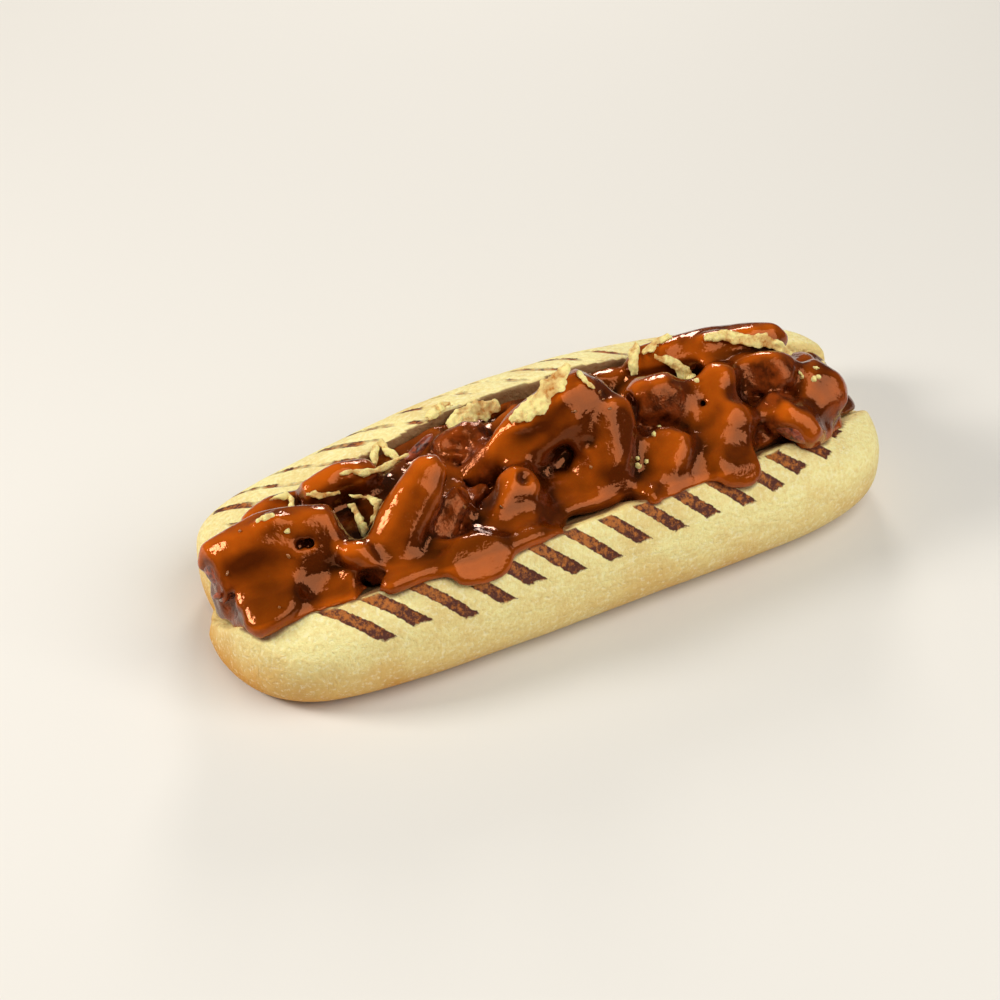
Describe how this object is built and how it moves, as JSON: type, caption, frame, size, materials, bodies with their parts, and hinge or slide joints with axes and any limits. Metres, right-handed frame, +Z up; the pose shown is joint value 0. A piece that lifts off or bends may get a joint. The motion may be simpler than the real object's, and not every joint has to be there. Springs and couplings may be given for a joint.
{
  "type": "chicken satay sandwich",
  "caption": "Grilled bread roll cut open along its top and filled with chicken pieces in thick peanut satay sauce, topped with crisp fried onions.",
  "frame": {"origin": "under the middle of the sandwich's bounding box, on the plane that the roll rests on", "axes": "+X along the roll towards its right end, +Y across it from the front lip to the back half, +Z up"},
  "size_m": [0.2196, 0.087, 0.0657],
  "materials": {
    "bread": "soft floury crust, pale gold, with dark grill marks beside the cut",
    "sauce": "thick glossy peanut sauce, caramel brown",
    "chicken": "fried chicken coated with sauce, reddish brown where it is bare",
    "onion": "dry crisp fried onion, pale gold with browned edges"
  },
  "bodies": {
    "root": {"bread_roll": "bread", "chicken_diagonal": "chicken", "chicken_hollow": "chicken", "chicken_ball": "chicken", "chicken_crest": "chicken", "chicken_slab_left": "chicken", "chicken_upright": "chicken", "chicken_cube": "chicken", "chicken_low_front": "chicken", "chicken_low_right": "chicken", "chicken_low_mid": "chicken", "chicken_mid_right": "chicken", "chicken_crest_front": "chicken", "chicken_corner": "chicken", "chicken_end_right": "chicken", "chicken_end_bit": "chicken", "chicken_shoulder": "chicken", "chicken_small_low": "chicken", "chicken_behind_mid": "chicken", "chicken_behind_left": "chicken", "chicken_back_left": "chicken", "chicken_back_mid": "chicken", "chicken_back_right": "chicken", "chicken_stick": "chicken", "onion_curl": "onion", "onion_chip": "onion", "onion_strip_left": "onion", "onion_thread": "onion", "onion_ring": "onion", "onion_loop": "onion", "onion_flake_mid": "onion", "onion_flake_small": "onion", "onion_flake_long": "onion", "onion_sliver": "onion", "onion_crumble_low": "onion", "onion_crumble_top": "onion", "onion_arc": "onion", "onion_flake_right": "onion", "satay_sauce": "sauce"}
  },
  "joints": []
}
